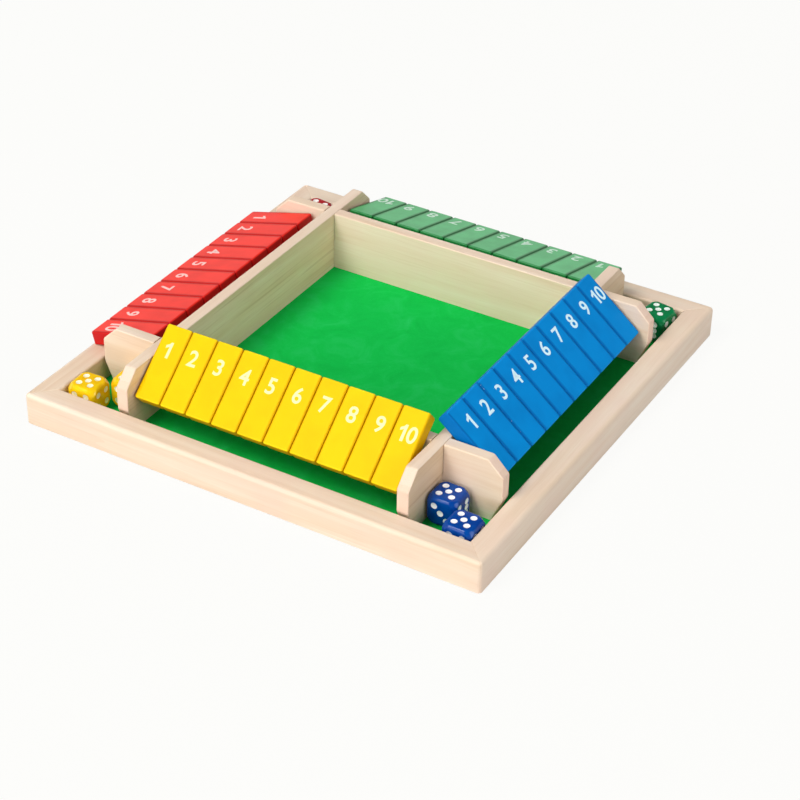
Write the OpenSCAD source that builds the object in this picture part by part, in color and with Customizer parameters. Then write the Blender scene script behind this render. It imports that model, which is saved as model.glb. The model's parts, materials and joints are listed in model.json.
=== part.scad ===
// Four-player shut the box game. Millimetres, +Z up.
// The origin is the middle of the underside. The yellow row is at the front (-Y), and the blue,
// green and red rows follow it anticlockwise: each side is the front side turned by 90 degrees.

/* [Frame] */
// Outer width of the square frame
game_w = 221; // [212:1:235]
// Width of each rail, seen from above
rail_w = 11; // [9:0.5:13]
// Height of the rails
rail_h = 15; // [12:0.5:18]
// Radius of the rounded top edges of the rails
rail_round = 2; // [1:0.25:3]
// Radius of the upright corners of the frame
frame_corner_r = 1.5; // [1:0.5:6]
// Thickness of the base board
board_t = 2.7; // [2:0.1:4]
// How far the base board is let into the rails
rebate_w = 4; // [2:0.5:6]
// Gap round the base board in its rebate
board_gap = 0.2; // [0.1:0.1:0.5]
// Thickness of the felt
felt_t = 0.8; // [0.5:0.1:1.5]
// Gap between the felt and the rails
felt_gap = 0.3; // [0.1:0.1:0.6]

/* [Inner walls] */
// Thickness of the inner walls
wall_t = 5.5; // [4.5:0.1:6.5]
// How far the walls stand above the rails
wall_rise = 17.4; // [14:0.2:20]
// Radius of the eased top edges of the walls
wall_round = 0.8; // [0.4:0.1:1.2]
// Gap between the end of a wall and the rail that it points at
ear_gap = 1.5; // [0.8:0.1:3]
// Size of the sloping cut at the top of a wall's end
ear_cut = 7; // [4:0.5:9]
// Width of the undercut at the foot of a wall's end
ear_foot_w = 4.5; // [2:0.5:7]
// Height of the undercut at the foot of a wall's end
ear_foot_h = 11; // [6:0.5:13]
// Radius that softens the corners of a wall's end
ear_round = 2.5; // [1:0.5:4]
// Clearance on each side of a wall in the slot of the wall that it crosses
lap_gap = 0.1; // [0.05:0.05:0.3]

/* [Number tiles] */
// Thickness of a tile
tile_t = 6.5; // [5.5:0.1:7.5]
// Length of a tile from its rod to its short end
tile_tail = 9.4; // [7:0.2:11]
// Gap between one tile and the next
tile_gap = 0.3; // [0.2:0.1:0.8]
// Free length on the rod at each end of a row
row_slack = 1.2; // [0.8:0.1:3]
// Gap between raised tiles of two rows where they meet at a corner
tip_gap = 0.3; // [0.3:0.05:1]
// Radius of a tile's softened edges
tile_round = 1; // [0.5:0.1:1.5]
// Gap left where a tile lies on a wall or on a rail
rest_gap = 0.15; // [0.1:0.05:0.3]
// How far the yellow row has slid along its rod, towards its tile 1
yellow_slide = 0.6; // [0:0.1:0.7]

/* [Rods] */
// Diameter of the rod that a row turns on
rod_d = 3; // [2.5:0.1:3.6]
// Radial clearance of the tiles on their rod
rod_play = 0.1; // [0.05:0.01:0.1]
// Radial clearance of the rod in the walls
rod_fit = 0.03; // [0.02:0.01:0.1]
// Height of the rod's axis above the rails
rod_rise = 9.4; // [8.4:0.2:11]
// Depth of the blind holes that hold a rod's ends
rod_seat = 4; // [3:0.2:4.2]
// Gap between a rod's end and the bottom of its hole
rod_end_gap = 0.2; // [0.1:0.1:0.5]

/* [Dice] */
// Width of a die
die_w = 13.5; // [13:0.25:15]
// Radius of a die's rounded edges
die_round = 1.8; // [1.5:0.1:3]
// Diameter of the ball that trims a die's corners
die_ball = 19; // [18.5:0.1:21]
// Diameter of a pip
pip_d = 2.8; // [2:0.1:2.8]
// Depth of a pip
pip_depth = 0.35; // [0.2:0.05:0.6]
// Distance between two rows of pips
pip_pitch = 2.85; // [2.85:0.05:3.2]
// Free width left in a channel beside two dice
dice_play = 1.8; // [1:0.1:3]
// Gap between a die and the wall or rail next to it
die_gap = 0.35; // [0.3:0.05:0.4]
// The largest distance, above that gap, by which a die has strayed from the corner it was put in
die_stray = 1.6; // [0:0.1:1.6]

/* [Hidden] */
colours = ["yellow", "blue", "green", "red"];
paints = ["#fddc12", "#1272c8", "#2c9a55", "#ef3a2e"];
dice_paints = ["#f2c21a", "#123f9c", "#12824a", "#c01f2a"];
wood = "#f1dcc4";
// The yellow and blue rows stand raised and the green and red ones lie shut
raised = [true, true, false, false];
tiles_in_row = 10;
round_fn = 32;
bore_fn = 48;
over = 1;

// Distances of the walls and rails from the middle of the game
inner_half = game_w / 2 - rail_w;
channel_w = 2 * die_w + dice_play;
wall_out = inner_half - channel_w;
wall_in = wall_out - wall_t;
ear_end = inner_half - ear_gap;

// Heights
felt_top = board_t + felt_t;
wall_top = rail_h + wall_rise;
lap_z = (felt_top + wall_top) / 2;
rod_z = rail_h + rod_rise;

// A row of tiles, and the rod along the middle of its channel
rod_s = wall_out + channel_w / 2;
row_half = wall_in - row_slack;
tile_pitch = 2 * row_half / tiles_in_row;
tile_w = tile_pitch - tile_gap;

// Angle of a raised tile above level, lying against the eased edge of the wall
edge_in = rod_s - (wall_out - wall_round);
edge_up = wall_top - wall_round - rod_z;
raise_angle = atan2(edge_up, edge_in)
    + asin((tile_t / 2 + wall_round + rest_gap) / norm([edge_in, edge_up]));

// Length of a tile from its rod to its number end, which just clears the next row at the corner
tip_reach = row_half - tile_gap / 2 + tip_gap;
tile_core = tile_t / 2 - tile_round;
tile_tip = tile_round
    + (rod_s - tile_round - tile_core * sin(raise_angle) - tip_reach) / cos(raise_angle);

// Angle of a shut tile below level, lying on the rail
tip_core = tile_tip - tile_round;
tip_drop = rod_z - tile_round - rail_h - rest_gap;
shut_angle = asin(tip_drop / norm([tip_core, tile_core])) - atan2(tile_core, tip_core);

// Each side's dice: the outer one by the frame's corner, then the inner one by the crossing
// walls. [turn about X, turn about Z, share of die_stray in x and in y]
dice_stand = [
    [[90, 183, 0.4, 1], [180, 92, 0.1, 0.1]],
    [[90, 90, 0.4, 0.1], [90, 180, 0.6, 0.2]],
    [[90, -9, 0.5, 0], [0, 4, 0.1, 0.1]],
    [[90, 82, 0, 0], [-90, 0, 0.1, 0.1]]
];

// Pips of each face in steps of pip_pitch, and the turn that brings the face to its place
pips = [
    [[0, 0]],
    [[-1, 1], [1, -1]],
    [[-1, -1], [0, 0], [1, 1]],
    [[-1, -1], [-1, 1], [1, -1], [1, 1]],
    [[-1, -1], [-1, 1], [0, 0], [1, -1], [1, 1]],
    [[-1, -1], [-1, 0], [-1, 1], [1, -1], [1, 0], [1, 1]]
];
face_turns = [[0, 0, 0], [90, 0, 0], [90, 0, 90], [90, 0, -90], [90, 0, 180], [180, 0, 0]];

wall_names = ["front_wall", "right_wall", "back_wall", "left_wall"];
rail_names = ["front_rail", "right_rail", "back_rail", "left_rail"];
function tile_name(side, number) = str(colours[side], "_tile_", number);
function die_name(side, place) = str(colours[side], "_die_", place + 1);

// Points of the arc that rounds the corner at b, between its neighbours a and c
function corner_arc(a, b, c, r) =
    let (
        u = (a - b) / norm(a - b),
        v = (c - b) / norm(c - b),
        half = acos(u * v) / 2,
        middle = b + (u + v) / norm(u + v) * r / sin(half),
        first = b + u * r / tan(half) - middle,
        start = atan2(first[1], first[0]),
        steps = 6
    )
    [for (i = [0:steps]) middle + r * [cos(start + i * (180 - 2 * half) / steps),
                                       sin(start + i * (180 - 2 * half) / steps)]];

// A rectangle with rounded corners, centred
module round_rect(w, h, r) {
    square([w - 2 * r, h], center = true);
    square([w, h - 2 * r], center = true);
    for (x = [-1, 1], y = [-1, 1])
        translate([x * (w / 2 - r), y * (h / 2 - r)]) circle(r, $fn = round_fn);
}

// A brick with every edge rounded, centred
module round_brick(size, r) {
    intersection() {
        translate([0, 0, -size[2] / 2]) linear_extrude(size[2]) round_rect(size[0], size[1], r);
        translate([0, size[1] / 2, 0]) rotate([90, 0, 0])
            linear_extrude(size[1]) round_rect(size[0], size[2], r);
        translate([-size[0] / 2, 0, 0]) rotate([90, 0, 90])
            linear_extrude(size[0]) round_rect(size[1], size[2], r);
    }
}

module base_board() {
    w = 2 * (inner_half + rebate_w - board_gap);
    color("#e3c8a2") translate([-w / 2, -w / 2, 0]) cube([w, w, board_t]);
}

module felt() {
    w = 2 * (inner_half - felt_gap);
    color("#12b24a") translate([-w / 2, -w / 2, board_t]) cube([w, w, felt_t]);
}

// Section of the front rail: rounded top edges and a rebate for the base board
module rail_section() {
    difference() {
        union() {
            translate([-game_w / 2, 0]) square([rail_w, rail_h - rail_round]);
            translate([-game_w / 2 + rail_round, 0]) square([rail_w - 2 * rail_round, rail_h]);
            for (y = [-game_w / 2 + rail_round, -inner_half - rail_round])
                translate([y, rail_h - rail_round]) circle(rail_round, $fn = round_fn);
        }
        translate([-inner_half - rebate_w, -over]) square([rebate_w + over, board_t + over]);
    }
}

// The front rail, cut to 45 degrees at both ends
module front_rail() {
    intersection() {
        translate([-game_w / 2, 0, 0]) rotate([90, 0, 90]) linear_extrude(game_w) rail_section();
        linear_extrude(rail_h) polygon([[0, 0], [-game_w, -game_w], [game_w, -game_w]]);
        linear_extrude(rail_h) round_rect(game_w, game_w, frame_corner_r);
    }
}

module rail(side) {
    color(wood) rotate([0, 0, 90 * side]) front_rail();
}

// Outline of a wall seen from the front, with its two ears
module wall_outline() {
    foot = [ear_end - ear_foot_w, felt_top];
    under = [ear_end, felt_top + ear_foot_h];
    shoulder = [ear_end, wall_top - ear_cut];
    top = [ear_end - ear_cut, wall_top];
    right = concat(
        [foot],
        corner_arc(foot, under, shoulder, ear_round),
        corner_arc(under, shoulder, top, ear_round),
        corner_arc(shoulder, top, [0, wall_top], ear_round)
    );
    left = [for (i = [len(right) - 1:-1:0]) [-right[i][0], right[i][1]]];
    polygon(concat(right, left));
}

// Section of a wall across its length, with eased top edges
module wall_section() {
    translate([-wall_out, 0]) square([wall_t, wall_top - wall_round]);
    translate([-wall_out + wall_round, 0]) square([wall_t - 2 * wall_round, wall_top]);
    for (y = [-wall_out + wall_round, -wall_in - wall_round])
        translate([y, wall_top - wall_round]) circle(wall_round, $fn = round_fn);
}

// The front wall with the slots and rod holes of its side. The slots of the front and back walls
// are open at the top, and those of the side walls at the foot, so that each pair halves together.
module front_wall(slot_on_top) {
    slot_w = wall_t + 2 * lap_gap;
    slot_z = slot_on_top ? lap_z : felt_top - over;
    slot_h = slot_on_top ? wall_top - lap_z + over : lap_z - felt_top + over;
    difference() {
        intersection() {
            translate([0, -wall_in, 0]) rotate([90, 0, 0]) linear_extrude(wall_t) wall_outline();
            translate([-ear_end, 0, 0]) rotate([90, 0, 90]) linear_extrude(2 * ear_end)
                wall_section();
        }
        for (x = [-1, 1]) {
            translate([x * (wall_in + wall_t / 2) - slot_w / 2, -wall_out - over, slot_z])
                cube([slot_w, wall_t + 2 * over, slot_h]);
            translate([x * rod_s, -wall_in - rod_seat, rod_z]) rotate([-90, 0, 0])
                cylinder(r = rod_d / 2 + rod_fit, h = rod_seat + over, $fn = bore_fn);
        }
    }
}

module wall(side) {
    color(wood) rotate([0, 0, 90 * side]) front_wall(side % 2 == 0);
}

// The four rods that the rows turn on
module pivot_rods() {
    half = wall_in + rod_seat - rod_end_gap;
    color("#c9ccd0") for (side = [0:3])
        rotate([0, 0, 90 * side]) translate([-half, -rod_s, rod_z]) rotate([0, 90, 0])
            cylinder(d = rod_d, h = 2 * half, $fn = bore_fn);
}

// A tile level on its rod, with the rod along X and the number end towards +Y
module level_tile() {
    difference() {
        translate([0, (tile_tip - tile_tail) / 2, 0])
            round_brick([tile_w, tile_tip + tile_tail, tile_t], tile_round);
        translate([-tile_w / 2 - over, 0, 0]) rotate([0, 90, 0])
            cylinder(r = rod_d / 2 + rod_play, h = tile_w + 2 * over, $fn = bore_fn);
    }
}

module tile(side, number) {
    slide = side == 0 ? -yellow_slide : 0;
    turn = raised[side] ? raise_angle : 180 + shut_angle;
    x = (number - (tiles_in_row + 1) / 2) * tile_pitch + slide;
    color(paints[side]) rotate([0, 0, 90 * side]) translate([x, -rod_s, rod_z])
        rotate([turn, 0, 0]) level_tile();
}

// A die with its 1 on top, 2 in front and 3 on the right
module die_form() {
    ball_r = (pip_d * pip_d / 4 + pip_depth * pip_depth) / (2 * pip_depth);
    difference() {
        intersection() {
            round_brick([die_w, die_w, die_w], die_round);
            sphere(d = die_ball, $fn = bore_fn);
        }
        for (number = [1:6])
            rotate(face_turns[number - 1]) for (p = pips[number - 1])
                translate([p[0] * pip_pitch, p[1] * pip_pitch, die_w / 2 - pip_depth + ball_r])
                    sphere(ball_r, $fn = bore_fn);
    }
}

// Half of the width that a die takes when it is turned by an angle
function die_reach(turn) =
    let (t = turn - 90 * round(turn / 90))
    (die_w / 2 - die_round) * (cos(t) + abs(sin(t))) + die_round;

module die(side, place) {
    stand = dice_stand[side][place];
    reach = die_reach(stand[1]) + die_gap;
    near = place == 0 ? inner_half - reach : wall_out + reach;
    away = place == 0 ? -1 : 1;
    x = near + away * stand[2] * die_stray;
    y = near + away * stand[3] * die_stray;
    color(dice_paints[side]) rotate([0, 0, 90 * side])
        translate([-x, -y, felt_top + die_w / 2])
            rotate([0, 0, stand[1]]) rotate([stand[0], 0, 0]) die_form();
}

base_board();
felt();
pivot_rods();
for (side = [0:3]) {
    rail(side);
    wall(side);
    for (number = [1:tiles_in_row])
        tile(side, number);
    for (place = [0:1])
        die(side, place);
}
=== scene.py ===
import json
import math
import random

import bmesh
import bpy
from mathutils import Matrix, Vector

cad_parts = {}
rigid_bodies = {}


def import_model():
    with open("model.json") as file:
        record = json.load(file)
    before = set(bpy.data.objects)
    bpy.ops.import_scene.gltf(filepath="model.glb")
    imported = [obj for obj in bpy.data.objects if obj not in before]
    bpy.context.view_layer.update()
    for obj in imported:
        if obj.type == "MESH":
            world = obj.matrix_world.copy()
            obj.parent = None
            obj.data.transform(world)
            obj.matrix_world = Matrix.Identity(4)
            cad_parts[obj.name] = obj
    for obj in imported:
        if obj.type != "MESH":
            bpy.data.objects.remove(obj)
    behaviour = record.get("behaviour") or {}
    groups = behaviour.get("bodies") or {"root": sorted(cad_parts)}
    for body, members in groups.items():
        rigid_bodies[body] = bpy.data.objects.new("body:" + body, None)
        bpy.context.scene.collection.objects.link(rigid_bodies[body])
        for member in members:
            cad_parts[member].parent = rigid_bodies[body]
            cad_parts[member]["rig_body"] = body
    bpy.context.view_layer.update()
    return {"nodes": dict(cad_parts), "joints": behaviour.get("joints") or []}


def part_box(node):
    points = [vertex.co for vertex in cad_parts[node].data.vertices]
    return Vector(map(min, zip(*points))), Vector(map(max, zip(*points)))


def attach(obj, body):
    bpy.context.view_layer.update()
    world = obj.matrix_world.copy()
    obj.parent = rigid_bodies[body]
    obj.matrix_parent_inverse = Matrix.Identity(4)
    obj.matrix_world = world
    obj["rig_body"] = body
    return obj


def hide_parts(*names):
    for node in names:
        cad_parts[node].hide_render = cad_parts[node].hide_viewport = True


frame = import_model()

mm = 0.001         # sizes are in millimetres where nothing else is said
hair = 0.01 * mm   # how far off a point may be and still count as on a face
sameWay = 0.999    # cosine above which two directions count as one
random.seed(11)
colours = ["yellow", "blue", "green", "red"]  # the rows, anticlockwise from the front
sideNames = ["front", "right", "back", "left"]
raisedRows = ["yellow", "blue"]
tileValues = range(1, 11)
print("frame loaded,", len(frame["nodes"]), "nodes")


# Working in Blender

def onlySelect(*pieces):
    if bpy.context.object and bpy.context.object.mode != "OBJECT":
        bpy.ops.object.mode_set(mode="OBJECT")
    bpy.ops.object.select_all(action="DESELECT")
    for piece in pieces:
        piece.select_set(True)
        bpy.context.view_layer.objects.active = piece


def editMesh(piece, kind="FACE", test=lambda part: True):
    # opens the piece in edit mode with just the faces or edges selected that pass the test
    onlySelect(piece)
    bpy.ops.object.mode_set(mode="EDIT")
    bpy.ops.mesh.select_mode(type=kind)
    bpy.ops.mesh.select_all(action="DESELECT")
    mesh = bmesh.from_edit_mesh(piece.data)
    for part in mesh.faces if kind == "FACE" else mesh.edges:
        if test(part):
            part.select_set(True)
    mesh.select_flush_mode()
    bmesh.update_edit_mesh(piece.data)


def leaveEdit():
    bpy.ops.object.mode_set(mode="OBJECT")


def bevelEdges(piece, test, width, steps):
    editMesh(piece, "EDGE", test)
    bpy.ops.mesh.bevel(offset=width, segments=steps, affect="EDGES", clamp_overlap=True)
    leaveEdit()


def addBlock(name, size, centre):
    onlySelect()
    bpy.ops.mesh.primitive_cube_add(size=1, location=centre)
    piece = bpy.context.object
    piece.name = name
    piece.scale = size
    bpy.ops.object.transform_apply(location=True, rotation=True, scale=True)
    return piece


def addRound(name, radius, length, centre, axis, sides=48):
    onlySelect()
    turn = {"X": (0, math.pi / 2, 0), "Y": (math.pi / 2, 0, 0), "Z": (0, 0, 0)}[axis]
    bpy.ops.mesh.primitive_cylinder_add(vertices=sides, radius=radius, depth=length,
                                        location=centre, rotation=turn)
    piece = bpy.context.object
    piece.name = name
    bpy.ops.object.transform_apply(location=True, rotation=True, scale=True)
    return piece


def joinPieces(pieces):
    # the last piece takes in the others
    onlySelect(*pieces)
    if len(pieces) > 1:
        bpy.ops.object.join()
    return bpy.context.object


def cutAway(piece, point, normal):
    # saws along a plane and drops what lies on the side that the normal points to
    editMesh(piece)
    bpy.ops.mesh.bisect(plane_co=point, plane_no=normal, use_fill=True, clear_outer=True)
    leaveEdit()


def carve(piece, cutters, operation="DIFFERENCE", materials="INDEX"):
    cutter = joinPieces(cutters)
    onlySelect(piece)
    tool = piece.modifiers.new("carve", "BOOLEAN")
    tool.operation = operation
    tool.solver = "EXACT"
    tool.material_mode = materials
    tool.object = cutter
    bpy.ops.object.modifier_apply(modifier=tool.name)
    bpy.data.objects.remove(cutter)


def smooth(piece, angle=35):
    # round edges shade smoothly, and flat faces stay flat up to them
    onlySelect(piece)
    bpy.ops.object.shade_smooth_by_angle(angle=math.radians(angle))
    tool = piece.modifiers.new("flat faces", "WEIGHTED_NORMAL")
    tool.keep_sharp = True
    tool.weight = 100
    bpy.ops.object.modifier_apply(modifier=tool.name)


def copyOf(piece, name):
    copied = piece.copy()
    copied.data = piece.data.copy()
    copied.name = name
    bpy.context.scene.collection.objects.link(copied)
    return copied


def paintWith(piece, *materials):
    piece.data.materials.clear()
    for material in materials:
        piece.data.materials.append(material)


def bodyOf(node):
    return frame["nodes"][node]["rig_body"]


def jointPlace(name):
    return Vector(next(joint["pos_m"] for joint in frame["joints"] if joint["name"] == name))


def standFor(piece, node):
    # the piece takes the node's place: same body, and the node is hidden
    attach(piece, bodyOf(node))
    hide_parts(node)


def runsAlong(edge, axis):
    run = (edge.verts[0].co - edge.verts[1].co).normalized()
    return abs(run["XYZ".index(axis)]) > sameWay


def sharpEdge(edge, angle=30):
    return len(edge.link_faces) == 2 and edge.calc_face_angle(0) > math.radians(angle)


def topOf(edge):
    return max(vertex.co.z for vertex in edge.verts)


def sideTurn(side):
    # from the front of the game round to another side, anticlockwise
    return Matrix.Rotation(side * math.pi / 2, 4, "Z")


def grainOf(side):
    # boards at the front and back run along X, those at the sides along Y
    return "X" if side % 2 == 0 else "Y"


# Making materials

waveRate = 20  # radians that a wave pattern turns by in one unit of its scaled place


def tone(hexColour):
    # an sRGB hex colour as the linear colour that the shader takes
    parts = [int(hexColour[i:i + 2], 16) / 255 for i in (1, 3, 5)]
    return [c / 12.92 if c <= 0.04045 else ((c + 0.055) / 1.055) ** 2.4 for c in parts] + [1]


def perMm(size):
    # texture scale at which one feature is this many millimetres wide
    return 1 / (size * mm)


def addNode(material, kind, inputs, **settings):
    # an input is a value or another node's output, and a ramp is its stops' places and hex colours
    node = material.node_tree.nodes.new(kind)
    for name, value in settings.items():
        if name == "ramp":
            places, hexColours = value
            stops = node.color_ramp.elements
            while len(stops) < len(places):
                stops.new(0.5)
            for stop, place, hexColour in zip(stops, places, hexColours):
                stop.position = place
                stop.color = tone(hexColour)
        else:
            setattr(node, name, value)
    for name, value in inputs.items():
        if isinstance(value, bpy.types.NodeSocket):
            material.node_tree.links.new(value, node.inputs[name])
        else:
            node.inputs[name].default_value = value
    return node


def newMaterial(name):
    material = bpy.data.materials.new(name)
    material.use_nodes = True
    material.node_tree.nodes.remove(material.node_tree.nodes["Principled BSDF"])
    return material


def closeMaterial(material, shader):
    output = material.node_tree.nodes["Material Output"]
    material.node_tree.links.new(shader.outputs[0], output.inputs["Surface"])
    return material


def layOver(material, below, hexColour, pattern, fade, kind="MIX"):
    # lays a colour over another, from none to the fade's share as the pattern rises from low to high
    low, high, share = fade
    amount = addNode(material, "ShaderNodeMapRange", {
        "Value": pattern, "From Min": low, "From Max": high, "To Min": 0, "To Max": share})
    return addNode(material, "ShaderNodeMix", {
        "Factor": amount.outputs[0], "A": below, "B": tone(hexColour)},
        data_type="RGBA", blend_type=kind).outputs["Result"]


# Pine

pine = {
    "light": "#efdfcb", "middle": "#ead5be", "dark": "#e2c8ac", "pink": "#eacebb", "vein": "#d6b898",
    # widths in mm, the mm in which the growth rings' wave turns by about a radian, and how slowly bands
    # and fibres change along the grain, as a share of across it
    "bandWidth": 6, "ringRadian": 2.6, "blotchWidth": 30, "fibreWidth": 0.3, "veinWidth": 0.9,
    "bandStretch": 0.05, "fibreStretch": 0.025,
    # where the bands change tone, and each other pattern's low, high and share
    "bandStops": (0.3, 0.52, 0.8), "ringFade": (0.6, 1, 0.16), "blotchFade": (0.45, 0.7, 0.55),
    "fibreFade": (0.52, 0.8, 0.24), "veinFade": (0.55, 0.78, 0.24),
    "roughness": (0.45, 0.6), "fibreDepth": 0.05,
}
# the side walls' broad faces get darker, browner pine as painted shade, with stronger streaks
shadedStreakyPine = {
    **pine, "light": "#ecd8bc", "middle": "#e4cba9", "dark": "#d8b891", "pink": "#e4c4a4", "vein": "#b98f62",
    "veinWidth": 1.6, "veinFade": (0.55, 0.78, 0.5),
}


def pineMaterial(name, grain, shift, wood=pine):
    # pale pine, planed, sanded and sealed: soft wide bands, faint growth lines and hair-fine fibres
    material = newMaterial(name)
    place = addNode(material, "ShaderNodeTexCoord", {}).outputs["Object"]
    inBands, inFibres = (
        addNode(material, "ShaderNodeMapping", {
            "Vector": place, "Location": shift,
            "Scale": [wood[stretch] if axis == grain else 1 for axis in "XYZ"]}).outputs[0]
        for stretch in ("bandStretch", "fibreStretch"))
    bands = addNode(material, "ShaderNodeTexNoise", {
        "Vector": inBands, "Scale": perMm(wood["bandWidth"]), "Detail": 3, "Distortion": 0.5}).outputs["Fac"]
    rings = addNode(material, "ShaderNodeTexWave", {
        "Vector": inBands, "Scale": perMm(wood["ringRadian"]) / waveRate, "Distortion": 6, "Detail": 2,
        "Detail Scale": 1.5}, bands_direction="DIAGONAL", wave_profile="SAW").outputs["Fac"]
    blotches = addNode(material, "ShaderNodeTexNoise", {
        "Vector": place, "Scale": perMm(wood["blotchWidth"]), "Detail": 1}).outputs["Fac"]
    fibres = addNode(material, "ShaderNodeTexNoise", {
        "Vector": inFibres, "Scale": perMm(wood["fibreWidth"]), "Detail": 2}).outputs["Fac"]
    veins = addNode(material, "ShaderNodeTexNoise", {
        "Vector": inFibres, "Scale": perMm(wood["veinWidth"]), "Detail": 1, "Distortion": 0.3}).outputs["Fac"]
    colour = addNode(material, "ShaderNodeValToRGB", {"Fac": bands}, ramp=(
        wood["bandStops"], (wood["light"], wood["middle"], wood["dark"]))).outputs[0]
    colour = layOver(material, colour, wood["dark"], rings, wood["ringFade"], "MULTIPLY")
    colour = layOver(material, colour, wood["pink"], blotches, wood["blotchFade"])
    colour = layOver(material, colour, wood["vein"], fibres, wood["fibreFade"])
    colour = layOver(material, colour, wood["vein"], veins, wood["veinFade"])
    smoothest, roughest = wood["roughness"]
    gloss = addNode(material, "ShaderNodeMapRange", {"Value": bands, "To Min": smoothest, "To Max": roughest})
    relief = addNode(material, "ShaderNodeBump", {
        "Height": fibres, "Strength": 0.25, "Distance": wood["fibreDepth"] * mm})
    return closeMaterial(material, addNode(material, "ShaderNodeBsdfPrincipled", {
        "Base Color": colour, "Roughness": gloss.outputs[0], "Normal": relief.outputs[0],
        "Specular IOR Level": 0.3, "Coat Weight": 0.05, "Coat Roughness": 0.35}))


endGrain = {
    "base": "#efd3bf", "pore": "#dab795", "ringRadian": 2.2, "ringFade": (0.5, 1, 0.25),
    "poreWidth": 0.35, "poreFade": (0.5, 0.75, 0.5), "poreDepth": 0.06,
}


def endGrainMaterial():
    # sawn and sanded ends of the walls: paler and pinker, with pores and growth rings seen head on
    material = newMaterial("pineEndGrain")
    place = addNode(material, "ShaderNodeTexCoord", {}).outputs["Object"]
    rings = addNode(material, "ShaderNodeTexWave", {
        "Vector": place, "Scale": perMm(endGrain["ringRadian"]) / waveRate, "Distortion": 1.5, "Detail": 1},
        bands_direction="Z", wave_profile="SAW").outputs["Fac"]
    pores = addNode(material, "ShaderNodeTexNoise", {
        "Vector": place, "Scale": perMm(endGrain["poreWidth"]), "Detail": 3, "Roughness": 0.7}).outputs["Fac"]
    colour = layOver(material, tone(endGrain["base"]), endGrain["pore"], rings, endGrain["ringFade"])
    colour = layOver(material, colour, endGrain["pore"], pores, endGrain["poreFade"])
    relief = addNode(material, "ShaderNodeBump", {
        "Height": pores, "Strength": 0.3, "Distance": endGrain["poreDepth"] * mm})
    return closeMaterial(material, addNode(material, "ShaderNodeBsdfPrincipled", {
        "Base Color": colour, "Roughness": 0.65, "Normal": relief.outputs[0], "Specular IOR Level": 0.25}))


railPine = {"X": pineMaterial("palePineLengthways", "X", (0, 0.013, 0)),
            "Y": pineMaterial("palePineCrossways", "Y", (0.021, 0, 0))}
wallPine = {"X": pineMaterial("wallPineLengthways", "X", (0.2, 0.1, 0.033)),
            "Y": pineMaterial("wallPineCrosswaysShaded", "Y", (0.07, 0.3, 0.05), shadedStreakyPine)}
plywood = pineMaterial("birchPlywood", "X", (0.3, 0.2, 0.1))
endPine = endGrainMaterial()
print("pine made")


# The frame: four mitred rails round a base board

rail = {
    "width": 11, "outerRound": 1.9, "innerRound": 1.2, "roundSteps": 6, "mitreGroove": 0.2,
    "footRound": 0.5, "footSteps": 2,
    "footReach": 8,  # from the opening to past the rebate, so that only the outer edges are rounded
    "boardPlay": 0.4, "boardRound": 0.2, "boardSteps": 2,
}


def makeRails():
    low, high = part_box("front_rail")
    half = -low.y
    tall = high.z
    inner = half - rail["width"] * mm
    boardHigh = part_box("base_board")[1]
    rebateWide = 2 * boardHigh.x + rail["boardPlay"] * mm
    ring = addBlock("rail ring", (2 * half, 2 * half, tall), (0, 0, tall / 2))
    carve(ring, [addBlock("opening", (2 * inner, 2 * inner, 3 * tall), (0, 0, tall / 2))])
    carve(ring, [addBlock("rebate", (rebateWide, rebateWide, 2 * boardHigh.z), (0, 0, 0))])

    def outBy(edge):
        # how far from the middle of the game the edge's nearer end is
        return min(max(abs(vertex.co.x), abs(vertex.co.y)) for vertex in edge.verts)

    def outerEdge(edge):
        return sharpEdge(edge) and outBy(edge) > half - hair and topOf(edge) > hair

    def innerTopEdge(edge):
        onTop = min(vertex.co.z for vertex in edge.verts) >= tall - hair
        return sharpEdge(edge) and outBy(edge) < inner + hair and onTop

    def outerFootEdge(edge):
        return sharpEdge(edge) and outBy(edge) > inner + rail["footReach"] * mm and topOf(edge) < hair

    bevelEdges(ring, outerEdge, rail["outerRound"] * mm, rail["roundSteps"])
    bevelEdges(ring, innerTopEdge, rail["innerRound"] * mm, rail["roundSteps"])
    bevelEdges(ring, outerFootEdge, rail["footRound"] * mm, rail["footSteps"])
    for side, sideName in enumerate(sideNames):
        piece = copyOf(ring, sideName + "_frame_rail")
        for across in (1, -1):
            sawn = sideTurn(side) @ Vector((across, 1, 0)).normalized()
            cutAway(piece, (0, 0, 0), sawn)
            bevelEdges(piece, lambda e: sharpEdge(e) and any(
                face.normal.dot(sawn) > sameWay for face in e.link_faces), rail["mitreGroove"] * mm, 1)
        smooth(piece)
        paintWith(piece, railPine[grainOf(side)])
        standFor(piece, sideName + "_rail")
    bpy.data.objects.remove(ring)
    print("rails made")


def makeBaseBoard():
    low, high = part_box("base_board")
    piece = addBlock("base_panel", high - low, (low + high) / 2)
    bevelEdges(piece, sharpEdge, rail["boardRound"] * mm, rail["boardSteps"])
    smooth(piece)
    paintWith(piece, plywood)
    standFor(piece, "base_board")
    print("base board made")


# The inner walls with their ears, halved where they cross

wall = {
    "earCut": 7, "footWidth": 4.5, "footHeight": 11, "profileRound": 0.7, "profileSteps": 4,
    "topRound": 0.6, "topSteps": 3, "topSharp": 60, "footGroove": 0.35, "clearOfFoot": 1,
    "slotGap": 0.2, "slotReach": 2, "rodHole": 3.06, "rodSeat": 4,
    # an end face lies this far past the crossing, and this much of its normal runs along X; a side
    # face has this much of its normal along Y
    "endReach": 1, "endTurned": 0.6, "sideTurned": 0.9,
}


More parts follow.
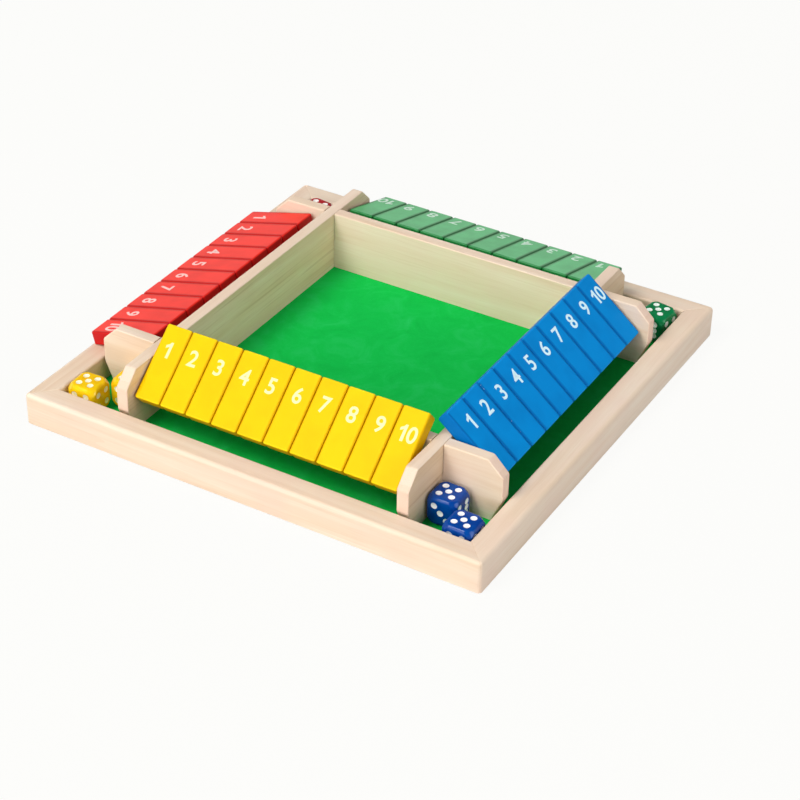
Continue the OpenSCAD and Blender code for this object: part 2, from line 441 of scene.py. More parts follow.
def wallShape(name, low, high):
    # the front wall's outline: a board with its upper corners sawn off and its feet slanted
    piece = addBlock(name, high - low, (low + high) / 2)
    cut, footWide, footTall = (wall[key] * mm for key in ("earCut", "footWidth", "footHeight"))
    for x in (1, -1):
        cutAway(piece, (x * (high.x - cut), 0, high.z), Vector((x, 0, 1)).normalized())
        slant = Vector((x * footTall, 0, -footWide)).normalized()
        cutAway(piece, (x * (high.x - footWide), 0, low.z), slant)
    middle = -(low.y + high.y) / 2
    clear = low.z + wall["clearOfFoot"] * mm
    bevelEdges(piece, lambda e: runsAlong(e, "Y") and abs(e.verts[0].co.x) > middle and topOf(e) > clear,
               wall["profileRound"] * mm, wall["profileSteps"])
    bevelEdges(piece, lambda e: sharpEdge(e, wall["topSharp"]) and topOf(e) > clear,
               wall["topRound"] * mm, wall["topSteps"])
    # the foot's long edges are eased, which leaves a dark line above the felt
    bevelEdges(piece, lambda e: runsAlong(e, "X") and topOf(e) < low.z + hair, wall["footGroove"] * mm, 1)
    return piece


def makeWalls():
    low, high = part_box("front_wall")
    outer, inner = -low.y, -high.y
    foot, top = low.z, high.z
    thick = outer - inner
    middle = (outer + inner) / 2
    rodPlace = jointPlace("yellow_1_flip")
    reach = wall["slotReach"] * mm
    slotSize = (thick + 2 * wall["slotGap"] * mm, thick + 2 * reach, (top - foot) / 2 + 2 * reach)
    for side, sideName in enumerate(sideNames):
        piece = wallShape(sideName + "_inner_wall", low, high)
        # the front and back walls are slotted from the top, the side walls from below
        slotEnd, past = (top, reach) if side % 2 == 0 else (foot, -reach)
        slotMiddle = (slotEnd + (foot + top) / 2) / 2 + past
        cutters = []
        for x in (1, -1):
            cutters.append(addBlock("slot", slotSize, (x * middle, -middle, slotMiddle)))
            cutters.append(addRound("hole", wall["rodHole"] / 2 * mm, 2 * wall["rodSeat"] * mm,
                                    (x * -rodPlace.y, -inner, rodPlace.z), "Y"))
        carve(piece, cutters)
        # the side walls' broad faces take the darker, browner pine of painted shade
        paintWith(piece, railPine[grainOf(side)], endPine, wallPine[grainOf(side)])
        for face in piece.data.polygons:
            pastCrossing = abs(face.center.x) > outer + wall["endReach"] * mm
            if pastCrossing and abs(face.normal.x) > wall["endTurned"]:
                face.material_index = 1
            else:
                face.material_index = 2 if abs(face.normal.y) > wall["sideTurned"] else 0
        piece.data.transform(sideTurn(side))
        smooth(piece)
        standFor(piece, sideName + "_wall")
    print("walls made")


# The felt floor

felt = {
    "base": "#12c24e", "dark": "#0cb446", "bright": "#2ccc68",
    "mottleWidth": 14, "mottleStops": (0.2, 0.5, 0.9),
    "fluffWidth": 0.8, "fluffFade": (0.5, 0.75, 0.35), "fluffDepth": 0.2,
    "fibreWidth": 0.3, "fibreFade": (0.52, 0.8, 0.5), "fibreDepth": 0.06,
    # the mesh: grid spacing, width and height of its unevenness, the share of it that lies below the
    # surface, and the gap under the sheet
    "spacing": 1.2, "cloudWidth": 1.6, "relief": 0.12, "below": 0.75, "footGap": 0.05, "smoothAngle": 60,
}


def feltMaterial():
    # pressed wool felt: no gloss, fibres lying every way, faintly cloudy where it was rolled and stroked
    material = newMaterial("greenWoolFelt")
    place = addNode(material, "ShaderNodeTexCoord", {}).outputs["Object"]
    mottle = addNode(material, "ShaderNodeTexNoise", {
        "Vector": place, "Scale": perMm(felt["mottleWidth"]), "Detail": 6, "Roughness": 0.65,
        "Distortion": 0.8}).outputs["Fac"]
    fluff = addNode(material, "ShaderNodeTexNoise", {
        "Vector": place, "Scale": perMm(felt["fluffWidth"]), "Detail": 4, "Roughness": 0.7,
        "Distortion": 1.5}).outputs["Fac"]
    fibres = addNode(material, "ShaderNodeTexNoise", {
        "Vector": place, "Scale": perMm(felt["fibreWidth"]), "Detail": 3, "Distortion": 2}).outputs["Fac"]
    colour = addNode(material, "ShaderNodeValToRGB", {"Fac": mottle}, ramp=(
        felt["mottleStops"], (felt["dark"], felt["base"], felt["bright"]))).outputs[0]
    colour = layOver(material, colour, felt["bright"], fluff, felt["fluffFade"])
    colour = layOver(material, colour, felt["dark"], fibres, felt["fibreFade"])
    relief = addNode(material, "ShaderNodeBump", {
        "Height": fluff, "Strength": 0.5, "Distance": felt["fluffDepth"] * mm})
    relief = addNode(material, "ShaderNodeBump", {
        "Height": fibres, "Strength": 0.5, "Distance": felt["fibreDepth"] * mm, "Normal": relief.outputs[0]})
    return closeMaterial(material, addNode(material, "ShaderNodeBsdfPrincipled", {
        "Base Color": colour, "Roughness": 0.95, "Normal": relief.outputs[0], "Specular IOR Level": 0.05}))


def makeFelt():
    low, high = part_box("felt")
    width = high.x - low.x
    steps = int(width / (felt["spacing"] * mm))
    onlySelect()
    bpy.ops.mesh.primitive_grid_add(x_subdivisions=steps, y_subdivisions=steps, size=width,
                                    location=(0, 0, high.z))
    piece = bpy.context.object
    piece.name = "felt_floor"
    bpy.ops.object.transform_apply(location=True, rotation=True, scale=True)
    clouds = bpy.data.textures.new("felt fluff", "CLOUDS")
    clouds.noise_scale = felt["cloudWidth"] * mm
    clouds.noise_depth = 2
    tool = piece.modifiers.new("fluff", "DISPLACE")
    tool.texture = clouds
    tool.strength = felt["relief"] * mm
    tool.mid_level = felt["below"]
    tool.direction = "Z"
    bpy.ops.object.modifier_apply(modifier=tool.name)
    editMesh(piece, "EDGE", lambda e: e.is_boundary)
    down = (0, 0, low.z - high.z + felt["footGap"] * mm)
    bpy.ops.mesh.extrude_region_move(TRANSFORM_OT_translate={"value": down})
    bpy.ops.mesh.edge_face_add()
    bpy.ops.mesh.select_all(action="SELECT")
    bpy.ops.mesh.normals_make_consistent(inside=False)
    leaveEdit()
    smooth(piece, felt["smoothAngle"])
    paintWith(piece, feltMaterial())
    standFor(piece, "felt")
    print("felt made")


# The rods

rod = {"endGap": 0.2, "endRound": 0.25, "endSteps": 2, "sides": 40,
       "light": "#d9dadc", "dark": "#b9bbbe", "markWidth": 0.4, "markStops": (0.35, 0.65),
       "roughness": (0.22, 0.4)}


def drawnSteel():
    # drawn steel rod: bright, with fine marks left by the drawing
    material = newMaterial("drawnSteel")
    place = addNode(material, "ShaderNodeTexCoord", {}).outputs["Object"]
    marks = addNode(material, "ShaderNodeTexNoise", {
        "Vector": place, "Scale": perMm(rod["markWidth"]), "Detail": 3}).outputs["Fac"]
    shade = addNode(material, "ShaderNodeValToRGB", {"Fac": marks}, ramp=(
        rod["markStops"], (rod["dark"], rod["light"])))
    smoothest, roughest = rod["roughness"]
    gloss = addNode(material, "ShaderNodeMapRange", {"Value": marks, "To Min": smoothest, "To Max": roughest})
    return closeMaterial(material, addNode(material, "ShaderNodeBsdfPrincipled", {
        "Base Color": shade.outputs[0], "Roughness": gloss.outputs[0], "Metallic": 1}))


def makeRods():
    rodPlace = jointPlace("yellow_1_flip")
    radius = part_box("pivot_rods")[1].x + rodPlace.y  # the box ends at the right rod's outer side
    wallInner = -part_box("front_wall")[1].y
    halfLength = wallInner + (wall["rodSeat"] - rod["endGap"]) * mm
    rods = []
    for side, sideName in enumerate(sideNames):
        piece = addRound(sideName + " rod", radius, 2 * halfLength, (0, rodPlace.y, rodPlace.z), "X",
                         rod["sides"])
        bevelEdges(piece, sharpEdge, rod["endRound"] * mm, rod["endSteps"])
        piece.data.transform(sideTurn(side))
        rods.append(piece)
    piece = joinPieces(rods)
    piece.name = "steel_rods"
    smooth(piece)
    paintWith(piece, drawnSteel())
    standFor(piece, "pivot_rods")
    print("rods made")


# The number tiles

tile = {
    "width": 12.5, "thickness": 6.5, "tip": 25.09, "tail": 9.4, "rodHole": 3.2,
    "cornerRound": 1.0, "edgeRound": 0.7, "steps": 4, "raisedAngle": 39.807, "shutAngle": 14.598,
    # degrees by which a row's tiles lean sideways, and by which each one strays from that
    "lean": {"yellow": 0.4, "blue": 0.3, "green": 0.35, "red": -0.4}, "leanStray": 0.05,
    # out of 1: how worn most tiles are, and the few that are worn more
    "hardlyWorn": 0.2,
    "worn": {("blue", 3): 1, ("blue", 2): 0.8, ("blue", 5): 0.7, ("blue", 7): 0.6, ("red", 5): 0.6},
}
# painted light: the face tone is the lit tone, lightened further into a painted sheen on green; the side tone
# is painted shade on the tile's sides and ends; the seam tone is painted shade along the seams between tiles;
# the tip tone is a painted highlight on yellow and blue and painted shade on green and red, along the face's
# ends
# gloss is how strongly the paint shines, and band how far in the seams' painted shade reaches, in mm
paints = {
    "yellow": {"face": "#f0c800", "side": "#dda900", "seamShade": "#d2a000", "tip": "#f2da1e",
               "ink": "#fff4ae", "gloss": 0.05, "band": 1.0},
    "blue": {"face": "#058cd8", "side": "#0672c0", "seamShade": "#04569e", "tip": "#1296e2",
             "ink": "#dcf8ff", "gloss": 0.04, "band": 1.3},
    "green": {"face": "#5fc67f", "side": "#148038", "seamShade": "#06521c", "tip": "#2a8c4a",
              "ink": "#d8f2e0", "gloss": 0.32, "band": 1.6},
    "red": {"face": "#ff3626", "side": "#c40a0a", "seamShade": "#ac0808", "tip": "#ee261c",
            "ink": "#ffd4ce", "gloss": 0.24, "band": 1.6},
}
enamel = {
    # how far in from its border a tile's tone changes between the lit face and the painted shade or highlight
    # of its sides, seams and ends, and where the change is done
    "endBand": 1.0, "faceBand": 0.6, "border": 0.15,
    # low, high and share of the drift across the row, and of each tile's own shade
    "driftWidth": 11, "driftFade": (0.4, 0.8, 0.25), "shadeFade": (0, 1, 0.14),
    # specks over the limit are chipped off a fully worn edge
    "chipWidth": 0.6, "chipLimit": 0.6, "chipped": "#dfe6e4",
    "grainWidth": 0.8, "grainStretch": 0.06, "grainDepth": 0.04, "roughness": (0.34, 0.48),
}


def tilePaint(colour):
    # enamel sprayed on a small wooden block: satin, the grain just felt through it, with painted shade on its
    # sides and along the seams, and a painted highlight or shade at its ends
    look = paints[colour]
    material = newMaterial(colour + "EnamelOnWood")
    inTile = addNode(material, "ShaderNodeAttribute", {}, attribute_name="tileSpace").outputs["Vector"]
    shade = addNode(material, "ShaderNodeAttribute", {}, attribute_name="tileShade").outputs["Fac"]
    worn = addNode(material, "ShaderNodeAttribute", {}, attribute_name="tileWear").outputs["Fac"]
    place = addNode(material, "ShaderNodeTexCoord", {}).outputs["Object"]
    middle = (tile["tip"] - tile["tail"]) / 2
    centred = addNode(material, "ShaderNodeMapping", {"Vector": inTile, "Location": (0, -middle * mm, 0)})
    outwards = addNode(material, "ShaderNodeVectorMath", {0: centred.outputs[0]}, operation="ABSOLUTE")
    outBy = addNode(material, "ShaderNodeSeparateXYZ", {0: outwards.outputs[0]}).outputs
    # each rises from 0 to 1 over the last stretch before the tile's border
    nearSeam, nearEnd, nearFace = (
        addNode(material, "ShaderNodeMapRange", {
            "Value": outBy[axis], "From Min": (half - band) * mm,
            "From Max": (half - enamel["border"]) * mm}).outputs[0]
        for axis, half, band in ((0, tile["width"] / 2, look["band"]),
                                 (1, (tile["tip"] + tile["tail"]) / 2, enamel["endBand"]),
                                 (2, tile["thickness"] / 2, enamel["faceBand"])))
    faceSeam, faceEnd = (
        addNode(material, "ShaderNodeMath", {0: near, 1: nearFace}, operation="MULTIPLY").outputs[0]
        for near in (nearSeam, nearEnd))
    # painted light: the side tone is painted shade, the face tone over it is the lit tone, then painted shade
    # along the seams and a painted highlight or shade along the ends
    paint = tone(look["side"])
    for part, amount in (("face", nearFace), ("seamShade", faceSeam), ("tip", faceEnd)):
        paint = addNode(material, "ShaderNodeMix", {
            "Factor": amount, "A": paint, "B": tone(look[part])}, data_type="RGBA").outputs["Result"]
    drift = addNode(material, "ShaderNodeTexNoise", {
        "Vector": place, "Scale": perMm(enamel["driftWidth"]), "Detail": 2}).outputs["Fac"]
    # the drift and each tile's own tone vary at random, towards the darker seam and side tones
    paint = layOver(material, paint, look["seamShade"], drift, enamel["driftFade"])
    paint = layOver(material, paint, look["side"], shade, enamel["shadeFade"])
    # chips: specks that show only along a worn tile's edges
    specks = addNode(material, "ShaderNodeTexNoise", {
        "Vector": place, "Scale": perMm(enamel["chipWidth"]), "Detail": 3, "Roughness": 0.7}).outputs["Fac"]
    arris = addNode(material, "ShaderNodeMath", {0: faceSeam, 1: faceEnd}, operation="MAXIMUM")
    wear = addNode(material, "ShaderNodeMath", {0: arris.outputs[0], 1: worn}, operation="MULTIPLY")
    limit = addNode(material, "ShaderNodeMapRange", {
        "Value": wear.outputs[0], "To Min": 1, "To Max": enamel["chipLimit"]})
    chips = addNode(material, "ShaderNodeMath", {0: specks, 1: limit.outputs[0]}, operation="GREATER_THAN")
    paint = addNode(material, "ShaderNodeMix", {
        "Factor": chips.outputs[0], "A": paint, "B": tone(enamel["chipped"])},
        data_type="RGBA").outputs["Result"]
    alongGrain = addNode(material, "ShaderNodeMapping", {
        "Vector": inTile, "Scale": (1, enamel["grainStretch"], 1)})
    grain = addNode(material, "ShaderNodeTexNoise", {
        "Vector": alongGrain.outputs[0], "Scale": perMm(enamel["grainWidth"]), "Detail": 3,
        "Distortion": 0.4}).outputs["Fac"]
    smoothest, roughest = enamel["roughness"]
    gloss = addNode(material, "ShaderNodeMapRange", {"Value": grain, "To Min": smoothest, "To Max": roughest})
    relief = addNode(material, "ShaderNodeBump", {
        "Height": grain, "Strength": 0.25, "Distance": enamel["grainDepth"] * mm})
    return closeMaterial(material, addNode(material, "ShaderNodeBsdfPrincipled", {
        "Base Color": paint, "Roughness": gloss.outputs[0], "Normal": relief.outputs[0],
        "Specular IOR Level": look["gloss"]}))


def makeTileBlank():
    length = (tile["tip"] + tile["tail"]) * mm
    middle = (tile["tip"] - tile["tail"]) / 2 * mm
    blank = addBlock("tile blank", (tile["width"] * mm, length, tile["thickness"] * mm), (0, middle, 0))
    bevelEdges(blank, lambda e: runsAlong(e, "Z"), tile["cornerRound"] * mm, tile["steps"])
    bevelEdges(blank, sharpEdge, tile["edgeRound"] * mm, tile["steps"])
    hole = addRound("rod hole", tile["rodHole"] / 2 * mm, 2 * tile["width"] * mm, (0, 0, 0), "X")
    carve(blank, [hole])
    smooth(blank)
    return blank


def keepTileSpace(piece, colour, value):
    # stores each point's place in the level tile, and how dark and how worn this tile is
    mesh = piece.data
    count = len(mesh.vertices)
    space = mesh.attributes.new("tileSpace", "FLOAT_VECTOR", "POINT")
    space.data.foreach_set("vector", [c for vertex in mesh.vertices for c in vertex.co])
    shade = mesh.attributes.new("tileShade", "FLOAT", "POINT")
    shade.data.foreach_set("value", [random.random()] * count)
    wear = mesh.attributes.new("tileWear", "FLOAT", "POINT")
    wear.data.foreach_set("value", [tile["worn"].get((colour, value), tile["hardlyWorn"])] * count)


def tilePlace(colour, value):
    angle = tile["raisedAngle"] if colour in raisedRows else 180 + tile["shutAngle"]
    turn = sideTurn(colours.index(colour)) @ Matrix.Rotation(math.radians(angle), 4, "X")
    # the hole's play lets each tile lean a little sideways, and still pass its neighbours when it flips
    lean = tile["lean"][colour] + tile["leanStray"] * random.uniform(-1, 1)
    rodPlace = Matrix.Translation(jointPlace(f"{colour}_{value}_flip"))
    return rodPlace @ turn @ Matrix.Rotation(math.radians(lean), 4, "Z")


# The numbers on the tiles

number = {
    # strokeExtra and figureGap are shares of a figure's size, and spread is one of its width
    "height": 7.2, "strokeExtra": 0.016, "curveSteps": 6, "spread": 0.94, "figureGap": 0.13,
    "layer": 0.05, "sink": 0.03, "weld": 0.005, "topFromTip": 7.0, "shutTopFromTip": 10.2,
    "patchWidth": 0.9, "patchFade": (0.4, 0.8, 0.15),
    # sideways, along the tile, and further sideways from one tile to the next
    "aside": {"yellow": (-0.1, -0.5, 0.17), "blue": (0.9, 0.9, 0), "green": (1.6, -0.7, 0),
              "red": (0.2, -2.4, 0)},
}
# a plain 1 without a foot, one unit tall
onePoints = [(0.24, 0), (0.43, 0), (0.43, 1), (0.28, 1), (0.2, 0.87), (0, 0.76), (0, 0.59), (0.12, 0.64),
             (0.24, 0.71)]


def numberInk(colour):
    # white ink stamped on the enamel: so thin that the paint tints it, and a little uneven
    look = paints[colour]
    material = newMaterial("whiteStampedInkOn" + colour.capitalize())
    place = addNode(material, "ShaderNodeTexCoord", {}).outputs["Object"]
    uneven = addNode(material, "ShaderNodeTexNoise", {
        "Vector": place, "Scale": perMm(number["patchWidth"]), "Detail": 3}).outputs["Fac"]
    shade = layOver(material, tone(look["ink"]), look["face"], uneven, number["patchFade"])
    return closeMaterial(material, addNode(material, "ShaderNodeBsdfPrincipled", {
        "Base Color": shade, "Roughness": 0.5, "Specular IOR Level": 0.3}))


def makeFigure(figure):
    # one figure, one unit tall, flat on the floor, its left edge at zero
    onlySelect()
    if figure == "1":
        bpy.ops.mesh.primitive_circle_add(vertices=len(onePoints), fill_type="NGON")
        piece = bpy.context.object
        for vertex, (x, y) in zip(piece.data.vertices, onePoints):
            vertex.co = (x, y, 0)
        editMesh(piece)
        bpy.ops.mesh.normals_make_consistent(inside=False)
        leaveEdit()
        return piece
    bpy.ops.object.text_add()
    piece = bpy.context.object
    piece.data.body = figure
    piece.data.offset = number["strokeExtra"]
    piece.data.resolution_u = number["curveSteps"]
    bpy.ops.object.convert(target="MESH")
    piece = bpy.context.object
    xs = [vertex.co.x for vertex in piece.data.vertices]
    ys = [vertex.co.y for vertex in piece.data.vertices]
    tall = max(ys) - min(ys)
    piece.data.transform(Matrix.Scale(1 / tall, 4) @ Matrix.Translation((-min(xs), -min(ys), 0)))
    return piece


def makeNumber(value):
    # the number centred on zero across, its foot at zero, with the layer's thickness
    gap = number["figureGap"]
    across = 0
    figures = []
    for figure in str(value):
        piece = makeFigure(figure)
        piece.data.transform(Matrix.Translation((across, 0, 0)))
        across = max(vertex.co.x for vertex in piece.data.vertices) + gap
        figures.append(piece)
    piece = joinPieces(figures)
    high = number["height"] * mm
    piece.data.transform(Matrix.Translation((-(across - gap) / 2, 0, 0)))
    piece.data.transform(Matrix.Diagonal((high * number["spread"], high, high, 1)))
    editMesh(piece)
    bpy.ops.mesh.remove_doubles(threshold=number["weld"] * mm)
    up = (0, 0, (number["layer"] + number["sink"]) * mm)
    bpy.ops.mesh.extrude_region_move(TRANSFORM_OT_translate={"value": up})
    bpy.ops.mesh.select_all(action="SELECT")
    bpy.ops.mesh.normals_make_consistent(inside=False)
    leaveEdit()
    onlySelect(piece)
    bpy.ops.object.shade_flat()
    return piece


def placeOnTile(piece, raisedFace):
    # onto the face that shows when the tile stands, or onto the one that shows when it is shut
    deep = (tile["thickness"] / 2 - number["sink"]) * mm
    if raisedFace:
        foot = (tile["tip"] - number["topFromTip"] - number["height"]) * mm
        piece.data.transform(Matrix.Translation((0, foot, deep)))
    else:
        foot = (tile["tip"] - number["shutTopFromTip"] + number["height"]) * mm
        piece.data.transform(Matrix.Translation((0, foot, -deep)) @ Matrix.Rotation(math.pi, 4, "X"))


def makeNumberForms():
    # one piece for each value, with its number on both faces of a level tile
    forms = []
    for value in tileValues:
        faces = []
        for raisedFace in (True, False):
            face = makeNumber(value)
            placeOnTile(face, raisedFace)
            faces.append(face)
        forms.append(joinPieces(faces))
    return forms


def makeTiles():
    blank = makeTileBlank()
    numberForms = makeNumberForms()
    middleValue = sum(tileValues) / len(tileValues)
    for colour in colours:
        paint, ink = tilePaint(colour), numberInk(colour)
        aside, alongTile, drift = number["aside"][colour]
        for value in tileValues:
            node = f"{colour}_tile_{value}"
            place = tilePlace(colour, value)
            piece = copyOf(blank, f"{colour}_block_{value}")
            keepTileSpace(piece, colour, value)
            piece.data.transform(place)
            paintWith(piece, paint)
            standFor(piece, node)
            figures = copyOf(numberForms[value - 1], f"{colour}_number_{value}")
            across = aside + drift * (value - middleValue)
            figures.data.transform(place @ Matrix.Translation((across * mm, alongTile * mm, 0)))
            paintWith(figures, ink)
            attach(figures, bodyOf(node))
    for piece in [blank, *numberForms]:
        bpy.data.objects.remove(piece)
    print("tiles made")


# The dice

die = {
    # a cube with rounded edges, whose corners are cut back to a ball
    "width": 13.5, "edgeRound": 1.8, "ball": 19, "steps": 6, "smoothAngle": 22,
    "pip": 2.8, "pipDepth": 0.35, "pitch": 2.85, "pipCut": 0.4, "sliver": 0.001,
    # turned a little, so that no edge of the ball runs along an edge of the cube
    "ballTurn": (7, 11),
    # turns about X and then about Z within the side's own frame, outer die and inner die
    "turns": {"yellow": [(90, 183), (180, 92)], "blue": [(90, 90), (90, 180)],
              "green": [(90, -9), (0, 4)], "red": [(90, 82), (-90, 0)]},
    "swirlWidth": 6, "swirlStops": (0.3, 0.8), "scuffWidth": 0.5, "roughness": (0.05, 0.16),
    "glowDepth": 1.5, "patchWidth": 1.2, "patchStops": (0.3, 0.7),
}
dicePaints = {
    "yellow": {"base": "#f8d414", "deep": "#eeb408", "pip": "#fffcb0", "glow": 0.35},
    "blue": {"base": "#02489c", "deep": "#01348c", "pip": "#eef6ff", "glow": 0.06},
    "green": {"base": "#0c8a50", "deep": "#066a38", "pip": "#e2fff0", "glow": 0.1},
    "red": {"base": "#c0242c", "deep": "#96101c", "pip": "#fff3ee", "glow": 0.1},
}
# from the middle of the face, in steps of the pitch
pipPlaces = {
    1: [(0, 0)],
    2: [(-1, 1), (1, -1)],
    3: [(-1, -1), (0, 0), (1, 1)],
    4: [(-1, -1), (-1, 1), (1, -1), (1, 1)],
    5: [(-1, -1), (-1, 1), (0, 0), (1, -1), (1, 1)],
    6: [(-1, -1), (-1, 0), (-1, 1), (1, -1), (1, 0), (1, 1)],
}
# turns about X and then about Z that take pips from the top of the die to their own face
faceTurns = {1: (0, 0), 2: (90, 0), 3: (90, 90), 4: (90, -90), 5: (90, 180), 6: (180, 0)}


def dicePlastic(colour):
    # polished acrylic: glossy, a little light carried inside it, tumbled scuffs too fine to feel
    look = dicePaints[colour]
    material = newMaterial(colour + "Acrylic")
    place = addNode(material, "ShaderNodeTexCoord", {}).outputs["Object"]
    swirl = addNode(material, "ShaderNodeTexNoise", {
        "Vector": place, "Scale": perMm(die["swirlWidth"]), "Detail": 2, "Distortion": 1}).outputs["Fac"]
    scuffs = addNode(material, "ShaderNodeTexNoise", {
        "Vector": place, "Scale": perMm(die["scuffWidth"]), "Detail": 4}).outputs["Fac"]
    body = addNode(material, "ShaderNodeValToRGB", {"Fac": swirl}, ramp=(
        die["swirlStops"], (look["base"], look["deep"])))
    smoothest, roughest = die["roughness"]
    gloss = addNode(material, "ShaderNodeMapRange", {
        "Value": scuffs, "To Min": smoothest, "To Max": roughest})
    return closeMaterial(material, addNode(material, "ShaderNodeBsdfPrincipled", {
        "Base Color": body.outputs[0], "Roughness": gloss.outputs[0], "Subsurface Weight": look["glow"],
        "Subsurface Radius": (1, 1, 1), "Subsurface Scale": die["glowDepth"] * mm,
        "Specular IOR Level": 0.22}))


def pipPaint(colour):
    # white enamel dropped in the pips, a touch glossy, tinted by the plastic round it
    material = newMaterial("whitePipEnamelOn" + colour.capitalize())
    place = addNode(material, "ShaderNodeTexCoord", {}).outputs["Object"]
    uneven = addNode(material, "ShaderNodeTexNoise", {
        "Vector": place, "Scale": perMm(die["patchWidth"]), "Detail": 2}).outputs["Fac"]
    shade = addNode(material, "ShaderNodeValToRGB", {"Fac": uneven}, ramp=(
        die["patchStops"], (dicePaints[colour]["pip"], "#ffffff")))
    return closeMaterial(material, addNode(material, "ShaderNodeBsdfPrincipled", {
        "Base Color": shade.outputs[0], "Roughness": 0.3, "Specular IOR Level": 0.3}))


def turnOf(aboutX, aboutZ):
    return Matrix.Rotation(math.radians(aboutZ), 4, "Z") @ Matrix.Rotation(math.radians(aboutX), 4, "X")


def makePips(material):
    # balls that dig a shallow dish where each pip goes, cut off just above the die's face
    half, depth = die["width"] / 2, die["pipDepth"]
    radius = (die["pip"] ** 2 / 4 + depth ** 2) / (2 * depth)
    pips = []
    for value, places in pipPlaces.items():
        for x, y in places:
            onlySelect()
            centre = Vector((x * die["pitch"], y * die["pitch"], half - depth + radius)) * mm
            bpy.ops.mesh.primitive_uv_sphere_add(segments=32, ring_count=64, radius=radius * mm,
                                                 location=centre)
            pip = bpy.context.object
            bpy.ops.object.transform_apply(location=True, rotation=True, scale=True)
            cutAway(pip, (0, 0, (half + die["pipCut"]) * mm), (0, 0, 1))
            pip.data.transform(turnOf(*faceTurns[value]))
            paintWith(pip, material)
            pips.append(pip)
    return pips


def makeDieBlank(plastic, pipWhite):
    wide = die["width"] * mm
    blank = addBlock("die blank", (wide, wide, wide), (0, 0, 0))
    bevelEdges(blank, lambda e: True, die["edgeRound"] * mm, die["steps"])
    onlySelect()
    bpy.ops.mesh.primitive_uv_sphere_add(segments=64, ring_count=32, radius=die["ball"] / 2 * mm)
    ball = bpy.context.object
    ball.data.transform(turnOf(*die["ballTurn"]))
    carve(blank, [ball], "INTERSECT")
    paintWith(blank, plastic, pipWhite)
    carve(blank, makePips(pipWhite), "DIFFERENCE", "TRANSFER")
    editMesh(blank)
    bpy.ops.mesh.dissolve_degenerate(threshold=die["sliver"] * mm)
    leaveEdit()
    smooth(blank, die["smoothAngle"])
    return blank


def makeDice():
    finishes = {colour: (dicePlastic(colour), pipPaint(colour)) for colour in colours}
    blank = makeDieBlank(*finishes["blue"])  # each copy gets its own finishes
    for side, colour in enumerate(colours):
        for place in (0, 1):
            node = f"{colour}_die_{place + 1}"
            low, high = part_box(node)
            piece = copyOf(blank, f"{colour}_cube_die_{place + 1}")
            aboutX, aboutZ = die["turns"][colour][place]
            piece.data.transform(Matrix.Translation((low + high) / 2) @ turnOf(aboutX, aboutZ + 90 * side))
            piece.data.materials[0], piece.data.materials[1] = finishes[colour]
            standFor(piece, node)
    bpy.data.objects.remove(blank)
    print("dice made")


makeRails()
makeBaseBoard()
makeWalls()
makeFelt()
makeRods()
makeTiles()
makeDice()


# Stage, light and camera

# the floor's width is in metres
stage = {
    "floor": 6, "floorTone": "#d2d2d0", "seenTone": "#fffffd", "cameraWhite": 0.93,
    "worldTone": "#f3f6fb", "worldStrength": 0.4,
    # what shiny faces mirror: a white backdrop up to the first height, a dim ceiling from the second
    "backdropTop": 0.25, "ceilingFoot": 0.5, "ceiling": 0.12,
}


def makeStage():
    onlySelect()
    bpy.ops.mesh.primitive_plane_add(size=stage["floor"], location=(0, 0, 0))
    floor = bpy.context.object
    floor.name = "floor"
    material = newMaterial("paleFloor")
    rays = addNode(material, "ShaderNodeLightPath", {}).outputs
    seen = rays["Is Camera Ray"]
    for kind in ("Is Glossy Ray", "Is Transmission Ray"):
        seen = addNode(material, "ShaderNodeMath", {0: seen, 1: rays[kind]}, operation="MAXIMUM").outputs[0]
    share = addNode(material, "ShaderNodeMath", {0: seen, 1: stage["cameraWhite"]}, operation="MULTIPLY")
    matte = addNode(material, "ShaderNodeBsdfDiffuse", {"Color": tone(stage["floorTone"])})
    white = addNode(material, "ShaderNodeEmission", {"Color": tone(stage["seenTone"]), "Strength": 1.0})
    paintWith(floor, closeMaterial(material, addNode(material, "ShaderNodeMixShader", {
        "Fac": share.outputs[0], 1: matte.outputs[0], 2: white.outputs[0]})))


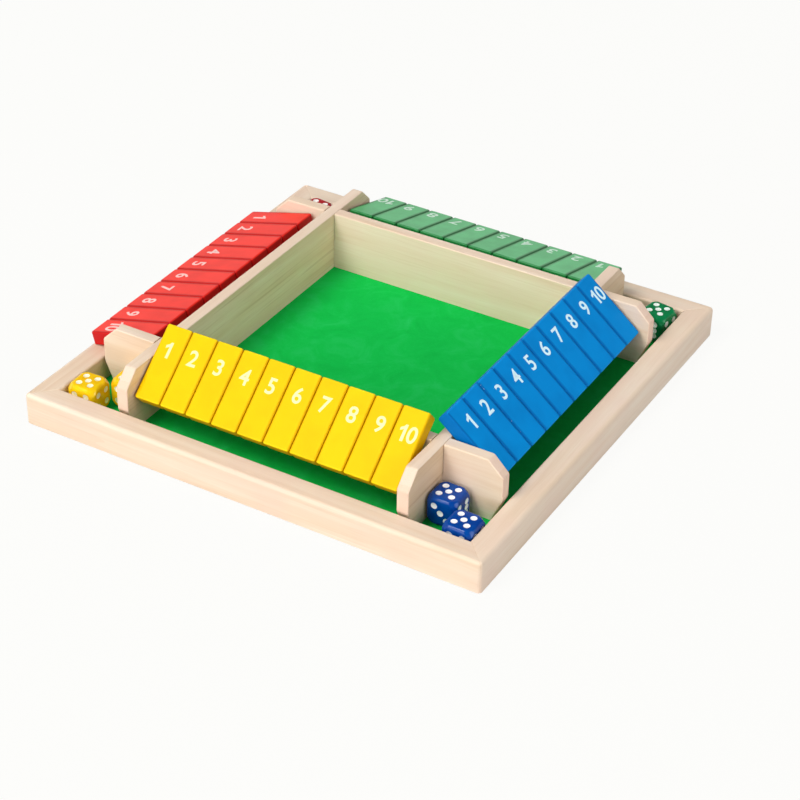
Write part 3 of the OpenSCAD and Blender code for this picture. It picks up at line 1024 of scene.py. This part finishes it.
def makeWorld():
    world = bpy.data.worlds.new("studio")
    bpy.context.scene.world = world
    world.use_nodes = True
    rays = addNode(world, "ShaderNodeLightPath", {}).outputs
    place = addNode(world, "ShaderNodeTexCoord", {}).outputs["Generated"]
    height = addNode(world, "ShaderNodeSeparateXYZ", {0: place}).outputs["Z"]
    ceiling = addNode(world, "ShaderNodeMapRange", {
        "Value": height, "From Min": stage["backdropTop"], "From Max": stage["ceilingFoot"],
        "To Min": 1, "To Max": stage["ceiling"]})
    lit = addNode(world, "ShaderNodeBackground", {
        "Color": tone(stage["worldTone"]), "Strength": stage["worldStrength"]})
    mirrored = addNode(world, "ShaderNodeBackground", {
        "Color": tone("#ffffff"), "Strength": ceiling.outputs[0]})
    white = addNode(world, "ShaderNodeBackground", {"Color": tone("#ffffff"), "Strength": 1.0})
    mixed = lit
    for kind, other in (("Is Glossy Ray", mirrored), ("Is Camera Ray", white)):
        mixed = addNode(world, "ShaderNodeMixShader", {
            "Fac": rays[kind], 1: mixed.outputs[0], 2: other.outputs[0]})
    output = world.node_tree.nodes["World Output"]
    world.node_tree.links.new(mixed.outputs[0], output.inputs["Surface"])


# places and sizes in metres, power in watts
lamps = {
    "key": {"place": (-0.84, -1.55, 2.38), "size": 1.2, "power": 50, "tone": "#fffaf4"},
    "front fill": {"place": (-0.48, -3.12, 1.2), "size": 1.9, "power": 48, "tone": "#fffaf4"},
    "right fill": {"place": (2.5, -0.55, 1.15), "size": 1.2, "power": 21, "tone": "#fbfcff"},
}


def makeLamps():
    for name, lamp in lamps.items():
        onlySelect()
        bpy.ops.object.light_add(type="AREA", location=lamp["place"])
        light = bpy.context.object
        light.name = name
        light.data.size = lamp["size"]
        light.data.energy = lamp["power"]
        light.data.color = tone(lamp["tone"])[:3]
        light.rotation_euler = (-Vector(lamp["place"])).to_track_quat("-Z", "Y").to_euler()


# fitted to the photograph, in degrees, millimetres and pixels, but for clip, which is in metres
view = {
    "azimuth": 29.8214, "elevation": 34.1076, "roll": 1.1512, "target": (16.2924, -11.3146, 0),
    "distance": 934.78, "focalPixels": 2142.07, "picture": 800, "sensor": 36, "clip": (0.01, 100),
}


def makeCamera():
    around, above, roll = (math.radians(view[key]) for key in ("azimuth", "elevation", "roll"))
    back = Vector((math.sin(around) * math.cos(above), -math.cos(around) * math.cos(above), math.sin(above)))
    level = Vector((0, 0, 1)).cross(back).normalized()
    upright = back.cross(level)
    right = math.cos(roll) * level + math.sin(roll) * upright
    up = math.cos(roll) * upright - math.sin(roll) * level
    onlySelect()
    bpy.ops.object.camera_add()
    camera = bpy.context.object
    camera.data.sensor_width = view["sensor"]
    camera.data.lens = view["focalPixels"] * view["sensor"] / view["picture"]
    place = Matrix((right, up, back)).transposed().to_4x4()
    place.translation = (Vector(view["target"]) + back * view["distance"]) * mm
    camera.matrix_world = place
    camera.data.clip_start, camera.data.clip_end = view["clip"]
    bpy.context.scene.camera = camera


makeStage()
makeWorld()
makeLamps()
makeCamera()
bpy.context.scene.view_settings.view_transform = "Standard"
print("stage, lamps and camera made")
